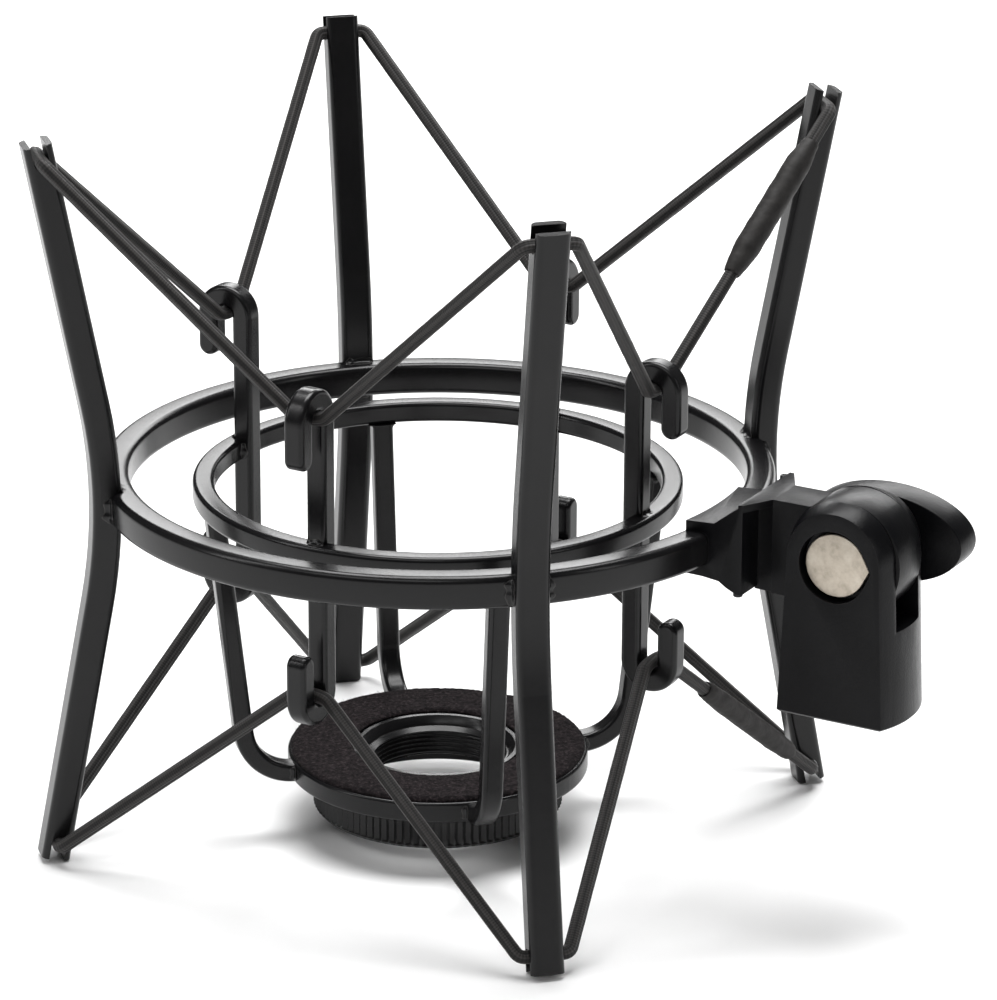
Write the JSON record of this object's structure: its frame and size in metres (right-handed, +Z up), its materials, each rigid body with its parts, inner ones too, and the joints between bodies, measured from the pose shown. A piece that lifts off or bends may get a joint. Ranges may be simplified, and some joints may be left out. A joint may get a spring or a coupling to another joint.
{
  "type": "microphone shock mount",
  "caption": "Elastic suspension for a large condenser microphone: a wire cage hung on elastic cord inside a flared ring frame, with a stand swivel.",
  "frame": {"origin": "centre of the felt seat's top face, on the cage axis", "axes": "+Z up along the cage axis, +X along the swivel arm, the thumb knob on the +Y side"},
  "size_m": [0.1838, 0.14, 0.155],
  "materials": {
    "black_coating": "satin",
    "felt": "matte",
    "spring_steel": "satin",
    "elastic": "matte",
    "shrink_sleeve": "satin",
    "black_plastic": "satin",
    "nickel": "satin",
    "brass": "satin",
    "zinc": "satin"
  },
  "bodies": {
    "outer_frame": {"outer_ring": "black_coating", "outer_post_1": "black_coating", "outer_post_2": "black_coating", "outer_post_3": "black_coating", "outer_post_4": "black_coating", "swivel_bracket": "black_plastic", "bracket_pins": "black_coating", "upper_elastic": "elastic", "lower_elastic": "elastic", "upper_splice_sleeve": "shrink_sleeve", "lower_splice_sleeve": "shrink_sleeve"},
    "cage": {"inner_ring": "black_coating", "hook_post_1": "black_coating", "hook_post_2": "black_coating", "hook_post_3": "black_coating", "hook_post_4": "black_coating", "cage_leg_1": "black_coating", "cage_leg_2": "black_coating", "cage_leg_3": "black_coating", "cage_leg_4": "black_coating", "base_plate": "black_coating", "felt_pad": "felt"},
    "mic_thread_ring": {"thread_ring": "black_coating", "retaining_clip": "spring_steel"},
    "swivel": {"swivel_body": "black_plastic", "stand_thread_insert": "brass", "pivot_bolt": "nickel", "knob_washer": "zinc"},
    "knob": {"thumb_knob": "black_plastic", "knob_nut": "brass"}
  },
  "joints": [
    {"name": "cage_bounce", "type": "slide", "parent": "outer_frame", "child": "cage", "axis": [0, 0, 1], "range_m": [-0.007, 0.005], "stiffness_N_per_m": 1500, "springref_m": 0.002, "deforming": ["upper_elastic", "upper_splice_sleeve", "lower_elastic", "lower_splice_sleeve"]},
    {"name": "thread_ring_turn", "type": "hinge", "parent": "cage", "child": "mic_thread_ring", "pos_m": [0, 0, -0.0061], "axis": [0, 0, 1], "continuous": true},
    {"name": "swivel_tilt", "type": "hinge", "parent": "outer_frame", "child": "swivel", "pos_m": [0.0958, 0, 0.0598], "axis": [0, -1, 0], "range_deg": [-8, 188]},
    {"name": "knob_turn", "type": "hinge", "parent": "swivel", "child": "knob", "pos_m": [0.0958, 0.0157, 0.0598], "axis": [0, 1, 0], "range_deg": [0, 720]}
  ]
}
